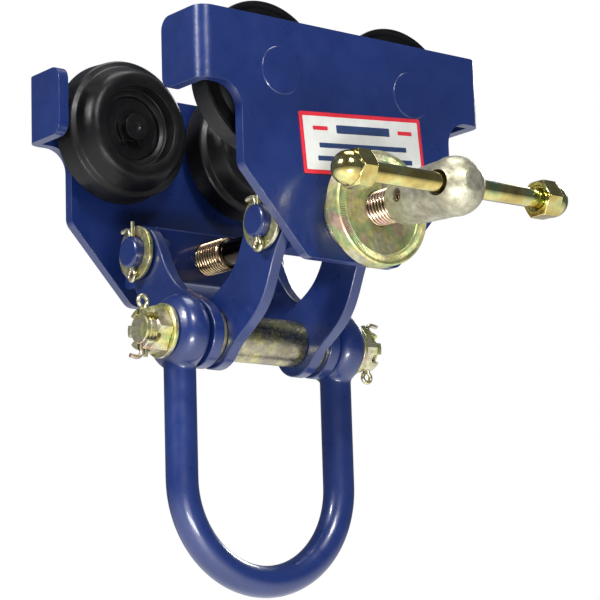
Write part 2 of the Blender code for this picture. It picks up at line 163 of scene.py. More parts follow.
def swept(path, radius, sides):
    """A round wire along a path of (x, z) points in the XZ plane."""
    bm = bmesh.new()
    rings = []
    for i, (x, z) in enumerate(path):
        ahead = path[min(i + 1, len(path) - 1)]
        behind = path[max(i - 1, 0)]
        run = Vector((ahead[0] - behind[0], 0, ahead[1] - behind[1])).normalized()
        across = run.cross(Vector((0, 1, 0)))
        angles = [math.tau * k / sides for k in range(sides)]
        rings.append([bm.verts.new(Vector((x, 0, z)) + radius * (across * math.cos(a)
                      + Vector((0, 1, 0)) * math.sin(a))) for a in angles])
    for one, two in zip(rings, rings[1:]):
        for k in range(sides):
            n = (k + 1) % sides
            bm.faces.new((one[k], one[n], two[n], two[k]))
    bm.faces.new(rings[0])
    bm.faces.new(rings[-1])
    return bm


def threaded(profile, threads, pitch, depth, sides=40, rows_per_turn=8):
    """A bar along Y with helical threads: each (start, end, hand) span of it is cut with a V groove."""
    bm = bmesh.new()
    stations = []
    for (y0, r0), (y1, r1) in zip(profile, profile[1:]):
        steps = max(1, round(abs(y1 - y0) * rows_per_turn / pitch))
        stations += [(y0 + (y1 - y0) * i / steps, r0 + (r1 - r0) * i / steps) for i in range(steps)]
    stations.append(profile[-1])
    rings = []
    for y, radius in stations:
        row = []
        for k in range(sides):
            turn = k / sides
            cut = 0.0
            for start, end, hand in threads:
                if start <= y <= end:
                    fade = min(1.0, (y - start) / pitch, (end - y) / pitch)
                    wave = abs(((y / pitch - hand * turn) % 1.0) * 2 - 1)
                    cut = depth * fade * min(1.0, max(0.0, 1.25 * wave - 0.12))
            angle, out = math.tau * turn, radius - cut
            row.append(bm.verts.new((out * math.cos(angle), y, out * math.sin(angle))))
        rings.append(row)
    for one, two in zip(rings, rings[1:]):
        for k in range(sides):
            n = (k + 1) % sides
            bm.faces.new((one[k], one[n], two[n], two[k]))
    bm.faces.new(rings[0])
    bm.faces.new(rings[-1])
    return bm


# ---------------------------------------------------------------- materials

MATERIALS = {}
GOLD, STRAW, PALE = (0.60, 0.46, 0.14), (0.68, 0.62, 0.25), (0.62, 0.60, 0.42)
GREEN, OLIVE, GREY = (0.40, 0.54, 0.24), (0.34, 0.30, 0.12), (0.36, 0.34, 0.26)
# the last colour on the next line is painted shade, laid into hollows and thread roots
PINK, BROWN, PAINTED_SHADE = (0.62, 0.42, 0.31), (0.30, 0.22, 0.13), (0.030, 0.022, 0.014)


class Finish:
    """A Principled material built from noise: patches of colour, a fine grain and a bump."""

    def __init__(self, name, metallic=0.0, coat=0.0):
        self.made = bpy.data.materials.new(name)
        self.made.use_nodes = True
        self.tree = self.made.node_tree
        self.shader = self.tree.nodes["Principled BSDF"]
        self.shader.inputs["Metallic"].default_value = metallic
        self.shader.inputs["Coat Weight"].default_value = coat
        self.shader.inputs["Coat Roughness"].default_value = 0.08
        self.coords = self.tree.nodes.new("ShaderNodeTexCoord").outputs["Object"]
        MATERIALS[name] = self.made

    def noise(self, scale, detail=4.0):
        """Noise of so many features to the metre."""
        node = self.tree.nodes.new("ShaderNodeTexNoise")
        node.inputs["Scale"].default_value = scale
        node.inputs["Detail"].default_value = detail
        self.tree.links.new(self.coords, node.inputs["Vector"])
        return node.outputs["Fac"]

    def ramp(self, value, stops):
        """A colour ramp of (position, colour) stops."""
        node = self.tree.nodes.new("ShaderNodeValToRGB")
        while len(node.color_ramp.elements) < len(stops):
            node.color_ramp.elements.new(0.5)
        for element, (place, colour) in zip(node.color_ramp.elements, stops):
            element.position = place
            element.color = (*colour, 1)
        self.tree.links.new(value, node.inputs["Fac"])
        return node.outputs["Color"]

    def between(self, value, low_end, high_end, start=0.0, end=1.0):
        """Stretch a value so that what lies between two levels runs from start to end."""
        node = self.tree.nodes.new("ShaderNodeMapRange")
        node.inputs["From Min"].default_value = low_end
        node.inputs["From Max"].default_value = high_end
        node.inputs["To Min"].default_value = start
        node.inputs["To Max"].default_value = end
        self.tree.links.new(value, node.inputs["Value"])
        return node.outputs["Result"]

    def span(self, value, start, end):
        """Stretch the middle of a noise to run from start to end."""
        return self.between(value, 0.3, 0.7, start, end)

    def mix(self, factor, one, two):
        """A blend of two colours by a factor."""
        node = self.tree.nodes.new("ShaderNodeMix")
        node.data_type = "RGBA"
        self.tree.links.new(factor, node.inputs[0])
        for socket, colour in ((node.inputs[6], one), (node.inputs[7], two)):
            if isinstance(colour, tuple):
                socket.default_value = (*colour, 1)
            else:
                self.tree.links.new(colour, socket)
        return node.outputs[2]

    def pointiness_mask(self, start, end):
        """How sharp an edge is here, from 0 in a hollow to 1 on a flat or a crest: a mask for painted
        shade.
        """
        geometry = self.tree.nodes.new("ShaderNodeNewGeometry")
        return self.between(geometry.outputs["Pointiness"], start, end)

    def rings(self, axis, scale):
        """Fine turning marks about an axis."""
        node = self.tree.nodes.new("ShaderNodeTexWave")
        node.wave_type = "RINGS"
        node.rings_direction = axis
        node.inputs["Scale"].default_value = scale
        node.inputs["Distortion"].default_value = 1.5
        node.inputs["Detail"].default_value = 2.0
        self.tree.links.new(self.coords, node.inputs["Vector"])
        return node.outputs["Fac"]

    def depth(self, inner, outer):
        """A point's distance from the object's Y axis, as 0 at the inner radius and 1 at the outer."""
        flat = self.tree.nodes.new("ShaderNodeVectorMath")
        flat.operation = "MULTIPLY"
        flat.inputs[1].default_value = (1, 0, 1)
        self.tree.links.new(self.coords, flat.inputs[0])
        length = self.tree.nodes.new("ShaderNodeVectorMath")
        length.operation = "LENGTH"
        self.tree.links.new(flat.outputs["Vector"], length.inputs[0])
        return self.between(length.outputs["Value"], inner * MM, outer * MM)

    def bump(self, *layers):
        """Stack (height, distance in metres) bumps onto the surface."""
        normal = None
        for height, distance in layers:
            node = self.tree.nodes.new("ShaderNodeBump")
            node.inputs["Strength"].default_value = 1.0
            node.inputs["Distance"].default_value = distance
            self.tree.links.new(height, node.inputs["Height"])
            if normal:
                self.tree.links.new(normal, node.inputs["Normal"])
            normal = node.outputs["Normal"]
        self.tree.links.new(normal, self.shader.inputs["Normal"])

    def put(self, colour, roughness):
        """Join the colour and the roughness to the shader."""
        self.tree.links.new(colour, self.shader.inputs["Base Color"])
        self.tree.links.new(roughness, self.shader.inputs["Roughness"])


def enamel():
    """Thick glossy blue enamel, a little uneven, with a faint ripple."""
    made = Finish("enamel", coat=0.45)
    body = made.ramp(made.noise(22), [(0.35, (0.0048, 0.0150, 0.084)), (0.65, (0.0066, 0.0190, 0.104))])
    made.put(body, made.span(made.noise(90), 0.26, 0.38))
    made.bump((made.noise(160, 2), 0.00016), (made.noise(1500, 2), 0.00002))


def wheel_paint():
    """Dull black paint, a little uneven, on a machined casting."""
    made = Finish("wheel_paint")
    made.shader.inputs["Specular IOR Level"].default_value = 0.22
    body = made.ramp(made.noise(45), [(0.35, (0.0030, 0.0030, 0.0036)), (0.7, (0.0072, 0.0068, 0.0066))])
    made.put(body, made.span(made.noise(120), 0.28, 0.44))
    made.bump((made.noise(300, 3), 0.00007), (made.noise(1800, 2), 0.00003))


def zinc(name, stops, rough, axis=None, speckle=0.00005, metallic=1.0, shaded_radii=None, soil=0.55):
    """Yellow-passivated zinc: thin-film patches of colour over steel, with painted shade laid dark into
    its hollows.

    The axis is that of its turning marks, and the two radii given for a thread mark where painted shade
    in its roots fades out.
    """
    made = Finish(name, metallic=metallic)
    film = made.ramp(made.noise(48, 3), stops)
    shade = made.mix(made.span(made.noise(260, 6), 0.0, soil), film, (0.13, 0.11, 0.06))
    # painted shade: darker wherever the surface is hollow, going by pointiness
    shaded_film = made.mix(made.pointiness_mask(0.44, 0.50), PAINTED_SHADE, shade)
    # painted shade in the thread roots: darker towards the inner of the two radii
    if shaded_radii:
        shaded_film = made.mix(made.depth(*shaded_radii), PAINTED_SHADE, shaded_film)
    made.put(shaded_film, made.span(made.noise(420, 3), *rough))
    layers = [(made.noise(700, 6), speckle)]
    if axis:
        layers.append((made.rings(axis, 500), 0.00003))
    made.bump(*layers)


def make_materials():
    """Every finish on the trolley."""
    enamel()
    wheel_paint()
    zinc("zinc", [(0.30, GREEN), (0.44, STRAW), (0.56, PALE), (0.70, PINK)], (0.24, 0.42), metallic=0.85)
    zinc("zinc_bright", [(0.30, OLIVE), (0.46, GOLD), (0.58, STRAW), (0.70, GREEN)], (0.10, 0.18),
         speckle=0.00002, soil=0.25)
    zinc("zinc_disc", [(0.30, PINK), (0.40, GREEN), (0.50, STRAW), (0.58, PALE), (0.68, GREEN)],
         (0.30, 0.46), "Y", metallic=0.72)
    # the threads get painted shade in their roots, between the two radii given below
    zinc("zinc_thread",
         [(0.32, (0.72, 0.38, 0.26)), (0.52, (0.70, 0.54, 0.30)), (0.70, (0.76, 0.48, 0.40))],
         (0.16, 0.28), shaded_radii=(ROD_R - 1.15, ROD_R - 0.35))
    zinc("zinc_wire", [(0.32, STRAW), (0.52, PALE), (0.68, PINK)], (0.22, 0.36), metallic=0.85)
    zinc("zinc_sleeve", [(0.30, BROWN), (0.46, GREY), (0.62, STRAW)], (0.20, 0.36), "X")
    zinc("zinc_hub", [(0.32, (0.37, 0.34, 0.23)), (0.50, (0.52, 0.50, 0.38)), (0.68, (0.44, 0.42, 0.29))],
         (0.34, 0.52), speckle=0.00022, metallic=0.85)
    zinc("dark_steel", [(0.3, (0.05, 0.05, 0.06)), (0.7, (0.10, 0.10, 0.11))], (0.35, 0.5), "X")
    for name, one, two in (("label_white", (0.54, 0.54, 0.51), (0.61, 0.61, 0.58)),
                           ("label_red", (0.50, 0.016, 0.030), (0.58, 0.024, 0.042)),
                           ("label_blue", (0.016, 0.035, 0.10), (0.024, 0.045, 0.13))):
        made = Finish(name, coat=0.2)
        colour = made.ramp(made.noise(70), [(0.35, one), (0.65, two)])
        made.put(colour, made.span(made.noise(200), 0.3, 0.42))
        made.bump((made.noise(900, 2), 0.00001))


# ---------------------------------------------------------------- objects

def add(name, bm, at, finish):
    """An object from a mesh in millimetres, with its own origin at a point in millimetres."""
    bmesh.ops.recalc_face_normals(bm, faces=bm.faces)
    bmesh.ops.scale(bm, vec=(MM, MM, MM), verts=bm.verts)
    mesh = bpy.data.meshes.new(name)
    bm.to_mesh(mesh)
    bm.free()
    mesh.shade_smooth()
    mesh.materials.append(MATERIALS[finish])
    made = bpy.data.objects.new(name, mesh)
    bpy.context.collection.objects.link(made)
    made.location = Vector(at) * MM
    return made


def combine(target, bm, operation="DIFFERENCE"):
    """Cut a mesh from an object, or join it on, there and then."""
    tool = add("tool", bm, (0, 0, 0), "enamel")
    tool.location = target.location
    boolean = target.modifiers.new("Boolean", "BOOLEAN")
    boolean.operation = operation
    boolean.solver = "EXACT"
    boolean.object = tool
    settle(target)
    bpy.data.objects.remove(tool, do_unlink=True)


def settle(target):
    """Apply an object's modifiers to its mesh."""
    bpy.context.view_layer.update()
    shown = target.evaluated_get(bpy.context.evaluated_depsgraph_get())
    mesh = bpy.data.meshes.new_from_object(shown)
    target.modifiers.clear()
    target.data = mesh


def bevelled(target, width, segments=3, angle=32):
    """Round an object's hard edges, and shade it so that its flats stay flat."""
    bevel = target.modifiers.new("Bevel", "BEVEL")
    bevel.width = width * MM
    bevel.segments = segments
    bevel.limit_method = "ANGLE"
    bevel.angle_limit = math.radians(angle)
    bevel.harden_normals = True
    settle(target)
    target.data.shade_smooth()
    weighted = target.modifiers.new("Weighted", "WEIGHTED_NORMAL")
    weighted.keep_sharp = True


def creased(target, angle=40):
    """Keep edges sharper than an angle crisp in smooth shading."""
    target.data.set_sharp_from_angle(angle=math.radians(angle))


def carry(target, body, slot, *nodes):
    """Tie a piece to its body and hide the CAD nodes it stands for. The slot is not used."""
    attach(target, body)
    if nodes:
        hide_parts(*nodes)


# ---------------------------------------------------------------- side plates and wheels

def bent(point, side):
    """Where a point of the flat blank lies once the bumpers are bent in at both ends."""
    x, depth, z = point
    bend_start = PLATE_HALF - BEND_RADIUS
    beyond = abs(x) - bend_start
    across = math.copysign(1, x)
    if beyond <= 0:
        return x, side * (PLATE_FACE - depth), z
    angle = min(beyond / BEND_RADIUS, math.pi / 2)
    straight = max(beyond - BEND_RADIUS * math.pi / 2, 0)
    radius = BEND_RADIUS - depth
    return (across * (bend_start + radius * math.sin(angle)),
            side * (PLATE_FACE - BEND_RADIUS + radius * math.cos(angle) - straight), z)


def side_plate(place, side):
    """The bent plate with its holes and softly rounded, painted edges."""
    bend_start = PLATE_HALF - BEND_RADIUS
    bend_run = BEND_RADIUS * math.pi / 2
    end = bend_start + bend_run + BUMPER_DEPTH - BEND_RADIUS
    half = [(39, PLATE_BOTTOM, 10), (91, -30, 10), (91, BUMPER_BOTTOM, 17),
            (end, BUMPER_BOTTOM, 9), (end, PLATE_TOP, 9)]
    bm = prism(rounded(half + [(-x, z, r) for x, z, r in reversed(half)], 10), "Y", 0, PLATE_THICK)
    bends = 10
    for across in (LEFT, RIGHT):
        for k in range(bends + 1):
            everything = bm.verts[:] + bm.edges[:] + bm.faces[:]
            bmesh.ops.bisect_plane(bm, geom=everything, plane_no=(1, 0, 0),
                                   plane_co=(across * (bend_start + bend_run * k / bends), 0, 0))
    for vert in bm.verts:
        vert.co = bent(vert.co, side)
    plate = add(place + "_plate", bm, (0, 0, 0), "enamel")
    start, stop = sorted((side * (PLATE_FACE + 5), side * (PLATE_FACE - PLATE_THICK - 5)))
    for x, z, radius in ((-AXLE.x, AXLE.z, 16.2), (AXLE.x, AXLE.z, 16.2), (0, SCREW.z, 13.5)):
        combine(plate, moved(rod("Y", start, stop, radius, 64), (x, 0, z)))
    bevelled(plate, 1.1)
    carry(plate, place + "_side", "blue_paint", place + "_side_plate")


def inward(profile, side):
    """A profile of (depth, radius) turned to face in from the front or the rear plate."""
    return [(-side * depth, radius) for depth, radius in profile]


def wheel_set(place, side, word, x_side):
    """A cast wheel, its bearing with shields, its axle and its circlip."""
    name = f"{place}_{word}"
    at = (x_side * AXLE.x, side * PLATE_FACE, AXLE.z)
    rim = [(15.6, 20.2, 0.5), (15.6, 36, 2), (18.4, 40.5, 2), (18.4, 46.5, 2), (16.4, 49.5, 1.5),
           (16.4, 52.3, 0.8), (17.6, 52.5, 0.5), (32.9, 51.2, 0.25), (33.9, 50, 0.25), (35.6, 46.2, 3),
           (50.6, 39.2, 8.0), (48.4, 30.0, 0.35), (40.0, 28.9, 1.2), (39.4, 26.4, 0.8),
           (38.3, 23.7, 0.4), (18.0, 23.7, 0.2), (18.0, 20.2, 0.3)]
    wheel = add(name + "_cast_wheel", turned(inward(rounded(rim, 4), side), "Y", 96), at, "wheel_paint")
    creased(wheel, 50)
    carry(wheel, name + "_wheel", "wheel", name + "_wheel")
    race = [(18.3, 10.0), (18.3, 23.4), (36.5, 23.4), (36.5, 21.4), (36.0, 21.2), (36.0, 14.0),
            (36.5, 13.8), (36.5, 10.0)]
    bearing = add(name + "_shielded_bearing", turned(inward(softened(race, 0.15), side), "Y", 64), at,
                  "wheel_paint")
    creased(bearing, 50)
    carry(bearing, name + "_wheel", "steel", name + "_bearing")
    welded = rounded([(-0.55, 0, 0), (-0.55, 16.0, 0.5), (0.3, 17.0, 0.2),
                      (PLATE_THICK, 15.9, 0.4), (PLATE_THICK, 0, 0)], 4)
    head = add(name + "_axle_head", turned(inward(welded, side), "Y", 72), at, "enamel")
    carry(head, place + "_side", "blue_paint", name + "_axle")
    stub = [(7.5, 0), (7.5, 13.5), (18.0, 13.5), (18.0, 9.7), (36.9, 9.7), (36.9, 8.8), (39.0, 8.8),
            (39.0, 9.7), (44.4, 9.7), (44.4, 3.2), (42.4, 0)]
    axle = add(name + "_stub_axle", turned(inward(softened(stub, 0.45), side), "Y", 64), at,
               "wheel_paint")
    creased(axle, 50)
    carry(axle, place + "_side", "wheel")
    open_ring = (arc((0, 0), 9.1, -63, 243, 40) + arc((0, 0), 14.6, 243, 229, 3)
                 + arc((0, 0), 12.6, 226, -46, 40) + arc((0, 0), 14.6, -49, -63, 3))
    back, front = 37.2, 38.7
    clip = add(name + "_snap_ring", prism(open_ring, "Y", *sorted((-side * back, -side * front))), at,
               "wheel_paint")
    bevelled(clip, 0.25, 2)
    carry(clip, place + "_side", "steel", name + "_circlip")


# ---------------------------------------------------------------- links and their pins

def washer(name, axis, start, end, inner, outer, at, body, node, finish="zinc"):
    """A punched washer with a slightly rounded rim."""
    start, end = sorted((start, end))
    soft = softened([(start, inner), (start, outer), (end, outer), (end, inner)], 0.45)
    made = add(name, turned(soft, axis, 72), at, finish)
    creased(made, 50)
    carry(made, body, "zinc", node)


def nut_block(place, side):
    """The painted block that the screw turns in, with a stub pin at each end."""
    node = place + "_nut_block"
    tip = high(node).x
    half = low(f"{place}_right_link").x - (CLEAR if place == "front" else 1.1)
    start, stop = sorted((side * (PLATE_FACE - PLATE_THICK - CLEAR), side * 58.0))
    corners = [(start, -20, 2.5), (stop, -20, 2.5), (stop, 20, 2.5), (start, 20, 2.5)]
    body = prism([(y - side * PIN_Y, z) for y, z in rounded(corners, 6)], "X", -half, half)
    block = add(place + "_block", body, (0, side * PIN_Y, SCREW.z), "enamel")
    boss = half - 8
    end = [(boss, 6), (boss, 14), (half - CLEAR, 14), (half - CLEAR, PIN_R), (tip - 2.2, PIN_R),
           (tip - 1.3, PIN_R - 0.4), (tip - 0.4, PIN_R - 1.5), (tip, PIN_R - 2.6), (tip, 0)]
    combine(block, turned([(-x, r) for x, r in reversed(end)] + end, "X", 56), "UNION")
    combine(block, rod("Y", -60, 60, ROD_R + CLEAR))
    bevelled(block, 0.7)
    carry(block, place + "_side", "blue_paint", node)


def link_outline(length, pin_radius=20.0, bolt_radius=23.5, slim=10.75, bulge=9.25):
    """A link's edge, as (along, across) points from its pin to its bolt. It bows to positive across."""
    count = 24

    def edge(sign, swell):
        steps = [i / count for i in range(1, count)]
        widths = [pin_radius + (bolt_radius - pin_radius) * s + swell * math.sin(math.pi * s) ** 2
                  for s in steps]
        return [(length * s, sign * w) for s, w in zip(steps, widths)]
    return (arc((0, 0), pin_radius, 270, 90, 24) + edge(1, bulge)
            + arc((length, 0), bolt_radius, 90, -90, 24) + edge(-1, -slim)[::-1])


def link(place, side, word, x_side):
    """A flame-cut link plate, painted, from a stub pin to the load bolt."""
    node = f"{place}_{word}_link"
    pin, bolt = Vector((side * PIN_Y, SCREW.z)), Vector((0, BOLT.z))
    run = bolt - pin
    length = run.length
    run.normalize()
    outward = Vector((side * abs(run.y), -abs(run.x)))
    outline = [tuple(run * along + outward * across) for along, across in link_outline(length)]
    blank = prism(outline, "X", low(node).x, high(node).x)
    made = add(node + "_plate", blank, (0, pin.x, pin.y), "enamel")
    for (y, z), radius in (((0, 0), PIN_R + CLEAR), (run * length, BOLT_R + CLEAR)):
        combine(made, moved(rod("X", low(node).x - 3, high(node).x + 3, radius), (0, y, z)))
    bevelled(made, 0.9)
    carry(made, place + "_links", "blue_paint", node)


def cotter(node, heading, legs_up, clear, tall, body):
    """A split pin of bent wire, with its eye on one side and its legs on the other."""
    wire, offset, eye = 1.55, 1.6, 3.6
    eye_centre = -(clear + wire + math.sqrt(eye ** 2 - offset ** 2) + 0.3)
    opening = math.degrees(math.asin(offset / eye))
    bend = arc((offset + 4.5, clear + 1), 4.5, 95, 180, 10)
    path = [(offset + 9.5, clear + 4.6)] + bend
    path += arc((0, eye_centre), eye, 90 - opening, -270 + opening, 28)
    path += [(-offset, 0), (-offset, tall)]
    bm = swept([(x, legs_up * z) for x, z in path], wire, 14)
    bmesh.ops.rotate(bm, verts=bm.verts, cent=(0, 0, 0),
                     matrix=Matrix.Rotation(math.radians(heading), 3, "Z"))
    box_middle = middle(node)
    across = Vector((math.cos(math.radians(heading)), math.sin(math.radians(heading)), 0))
    if abs(across.x) > 0.5:
        at = (math.copysign(NUT_COTTER_X, box_middle.x), 0, BOLT.z)
    elif body == "screw":
        at = (0, END_COTTER_Y, SCREW.z)
    else:
        at = (box_middle.x, math.copysign(PIN_Y, box_middle.y), SCREW.z)
    made = add(node + "_wire", bm, at, "zinc_wire")
    creased(made, 60)
    carry(made, body, "zinc", node)


# ---------------------------------------------------------------- load bolt and shackle

def hexed(across_flats, start, end, sign, chamfer_start):
    """A hexagon bar along X, and the turned shape to trim it to so that its ends are chamfered."""
    reach = across_flats / math.sqrt(3) + 1
    body = prism(arc((0, 0), reach - 1, 0, 300, 5), "X", *sorted((sign * start, sign * end)))
    slope = math.tan(math.radians(30))
    flat = across_flats / 2 - 0.4
    run = (reach - flat) * slope
    tail = [(start - 1, 0), (start - 1, reach)]
    if chamfer_start:
        tail = [(start - 1, 0), (start - 1, flat - 1 / slope), (start + run, reach)]
    cone = tail + [(end - run, reach), (end + 1, flat - 1 / slope), (end + 1, 0)]
    return body, turned([(sign * x, r) for x, r in cone], "X", 96)


def load_bolt():
    """The bolt, its sleeve and washers, and a castle nut with a cotter at each end."""
    tip = high("load_bolt").x
    pitch, turns = 2.5, 6
    end = [(84.9, BOLT_R), (85.1, 10.4)]
    for turn in range(turns):
        start = 85.4 + pitch * turn
        end += [(start, 10.4), (start + pitch / 2, 9.0), (start + pitch * 0.95, 10.4)]
    end += [(tip - 1.0, 10.4), (tip - 0.4, 9.8), (tip - 0.4, 0)]
    whole = [(-a, r) for a, r in reversed(end)] + end
    bolt = add("threaded_load_bolt", turned(whole, "X", 64), BOLT, "zinc")
    creased(bolt, 30)
    carry(bolt, "load_bolt", "zinc", "load_bolt")
    washer("sleeve_tube", "X", low("spacer_sleeve").x, high("spacer_sleeve").x, BOLT_R + CLEAR, 16.5,
           BOLT, "load_bolt", "spacer_sleeve", "zinc_sleeve")
    for word, x_side in X_SIDES.items():
        for kind in ("spacer_washer", "nut_washer"):
            node = f"{word}_{kind}"
            washer(node + "_ring", "X", low(node).x, high(node).x, BOLT_R + CLEAR, 19, BOLT,
                   "load_bolt", node)
        castle_nut(word, x_side)
        cotter(word + "_nut_cotter", 0 if x_side == RIGHT else 180, x_side, 14.3, 19, "load_bolt")


def castle_nut(word, x_side):
    """A hexagon nut with a slotted crown."""
    body, cone = hexed(30, 85.5, 97.0, x_side, False)
    nut = add(word + "_slotted_nut", body, BOLT, "zinc")
    combine(nut, cone, "INTERSECT")
    crown = [(88, 0), (88, 14.6), (101.1, 14.6), (101.9, 13.8), (101.9, 0)]
    combine(nut, turned([(x_side * x, r) for x, r in crown], "X", 72), "UNION")
    bore = [(84, 0), (84, 10.6), (101.6, 10.6), (102.5, 11.5), (102.5, 0)]
    combine(nut, turned([(x_side * x, r) for x, r in bore], "X", 56))
    slot = rounded([(-3.3, 93.6, 2.4), (3.3, 93.6, 2.4), (3.3, 106, 0), (-3.3, 106, 0)], 6)
    for turn in range(3):
        cutter = prism([(x_side * x, y) for y, x in slot], "Z", -20, 20)
        bmesh.ops.rotate(cutter, verts=cutter.verts, cent=(0, 0, 0),
                         matrix=Matrix.Rotation(math.radians(60 * turn), 3, "X"))
        combine(nut, cutter)
    bevelled(nut, 0.35, 2, 35)
    carry(nut, "load_bolt", "zinc", word + "_castle_nut")


def shackle():
    """The forged shackle: a bar bent to a bow that swells softly into its two eyes."""
    eye_half, bar = 12.5, 11.25
    half_span = high("shackle").x - eye_half
    straight = BOLT.z - low("shackle").z - half_span - bar
    path = [(-half_span, -13 - i * (straight - 13) / 12) for i in range(12)]
    path = path + arc((0, -straight), half_span, 180, 360, 60) + [(-x, z) for x, z in reversed(path)]
    made = add("forged_shackle", swept(path, bar, 40), BOLT, "enamel")
    dome = [(eye_half, 0), (eye_half, 17.6), (11.7, 19.1), (10.9, 20.6), (9.4, 23.4), (6.6, 25.6),
            (3.2, 26.8), (0, 27.0)]
    eye = [(-a, r) for a, r in dome] + dome[-2::-1]
    for x_side in (LEFT, RIGHT):
        combine(made, turned([(x_side * half_span + a, r) for a, r in eye], "X", 72), "UNION")
    remesh = made.modifiers.new("Remesh", "REMESH")
    remesh.mode = "VOXEL"
    remesh.voxel_size = 1.3 * MM
    remesh.use_smooth_shade = True
    smooth = made.modifiers.new("Smooth", "SMOOTH")
    smooth.factor = 0.5
    smooth.iterations = 8
    settle(made)
    combine(made, rod("X", -90, 90, BOLT_R + CLEAR, 64))
    made.data.shade_smooth()
    creased(made, 45)
    carry(made, "shackle", "blue_paint", "shackle")


# ---------------------------------------------------------------- screw and handle

def screw():
    """The adjusting rod with its two threads, its end stop, and the hub pinned to its front end."""
    front, rear = low("screw_rod").y, high("screw_rod").y
    neck, shoulder = 29.0, 121.5
    profile = [(front, ROD_R - 1.2), (front + 1.2, ROD_R), (-neck - 2, ROD_R), (-neck, 9.2), (neck, 9.2),
               (neck + 2, ROD_R), (shoulder, ROD_R), (shoulder + 0.1, 9), (rear - 1, 9), (rear, 8)]
    spans = [(front + 20, -neck - 1, -1), (neck + 1, shoulder - 0.5, 1)]
    rod_piece = add("threaded_rod", threaded(profile, spans, 3.0, 1.55), SCREW, "zinc_thread")
    creased(rod_piece, 60)
    carry(rod_piece, "screw", "zinc", "screw_rod")
    washer("end_stop_washer", "Y", low("rod_end_washer").y, high("rod_end_washer").y, 9.3, 17, SCREW,
           "screw_carriage", "rod_end_washer")
    cotter("rod_end_cotter", 90, 1, 9.3, 16, "screw")
    ball = arc((-210, 0), 19.6, 74, 150, 24)
    hub_profile = [(-196.5, 0), (-196.5, 12.3), (-158.2, 12.3), (-157.2, 13.0), (-157.0, 13.8),
                   (-157.4, 14.7), (-158.4, 15.2)]
    hub_profile += [(-158.4 - 28.6 * s / 8, 15.2 + 3.0 * math.sin(math.pi / 2 * s / 8))
                    for s in range(1, 9)]
    hub_profile += [(-195, 18.6)] + ball + [(-228.3, 8.2), (-228.7, 6.0), (-228.8, 0)]
    hub = add("forged_hub", turned(hub_profile, "Y", 88), SCREW, "zinc_hub")
    for y, radius in ((middle("spring_pin").y, 4.7), (BAR.y, 8.5)):
        combine(hub, moved(rod("X", -30, 30, radius, 40), (0, y, 0)))
    bevelled(hub, 0.5, 2, 50)
    carry(hub, "screw", "dull_zinc", "handle_hub")
    pin_end = high("spring_pin").x - 3
    wall = softened([(-pin_end, 2.8), (-pin_end, 4.4), (pin_end, 4.4), (pin_end, 2.8)], 0.4)
    pin = add("roll_pin", turned(wall, "X", 36), (0, middle("spring_pin").y, SCREW.z), "dark_steel")
    creased(pin, 50)
    carry(pin, "screw", "steel", "spring_pin")


def tommy_bar():
    """The plated bar and its two domed nuts."""
    end = (high("tommy_bar").x - low("tommy_bar").x) / 2
    soft = softened([(-end, 0), (-end, BAR_R), (end, BAR_R), (end, 0)], 0.6)
    bar = add("plated_bar", turned(soft, "X", 48), BAR, "zinc_bright")
    creased(bar, 50)
    carry(bar, "tommy_bar", "zinc", "tommy_bar")
    back, ball, radius = 73.0, 87.2, 11.1
    for word, x_side in X_SIDES.items():
        body, cone = hexed(23.5, back, 86.0, x_side, True)
        nut = add(word + "_domed_nut", body, BAR, "zinc_bright")
        combine(nut, cone, "INTERSECT")
        dome = [(80, 0), (80, radius)] + arc((ball, 0), radius, 90, 0, 12)
        combine(nut, turned([(x_side * x, r) for x, r in dome], "X", 72), "UNION")
        hole = [(back - 1, 0), (back - 1, 11.0), (back + 2.0, BAR_R + 0.1), (85, BAR_R + 0.1), (85, 0)]
        combine(nut, turned([(x_side * x, r) for x, r in hole], "X", 48))
        bevelled(nut, 0.3, 2, 35)
        carry(nut, "tommy_bar", "zinc", word + "_acorn_nut")


def lock_nut():
    """The turned disc nut with a serrated rim face and a dished middle."""
    at = (0, -PLATE_FACE, SCREW.z)
    washer("lock_washer_ring", "Y", -3.3, -0.3, ROD_R + CLEAR, 25, at, "lock_washer", "lock_washer")
    back = [(-3.6, 12.3, 0), (-3.6, 25, 0.6), (-19.8, 25, 1.5), (-19.8, 39.2, 1.0), (-31.4, 39.2, 0.3),
            (-32.3, 38.2, 0.3)]
    dish = [(-31.0, 31.0, 0.8), (-29.0, 15.0, 1.0), (-28.4, 12.3, 0)]
    inner, outer, rings, teeth = 31.6, 37.6, 12, 190
    face = [(-32.2 + 0.5 * i / rings, outer - (outer - inner) * i / rings, 0) for i in range(rings + 1)]
    bm = turned(rounded(back + face + dish, 4), "Y", 4 * teeth)
    for vert in bm.verts:
        radius = math.hypot(vert.co.x, vert.co.z)
        if vert.co.y < -31 and inner < radius < outer - 0.1:
            turn = math.atan2(vert.co.z, vert.co.x)
            swell = math.sin(math.pi * (radius - inner) / (outer - inner)) ** 0.5
            vert.co.y += 0.42 * swell * (0.5 + 0.5 * math.cos(teeth * turn))
    disc = add("serrated_lock_nut", bm, at, "zinc_disc")
    creased(disc, 50)
    carry(disc, "lock_nut", "zinc", "lock_nut")


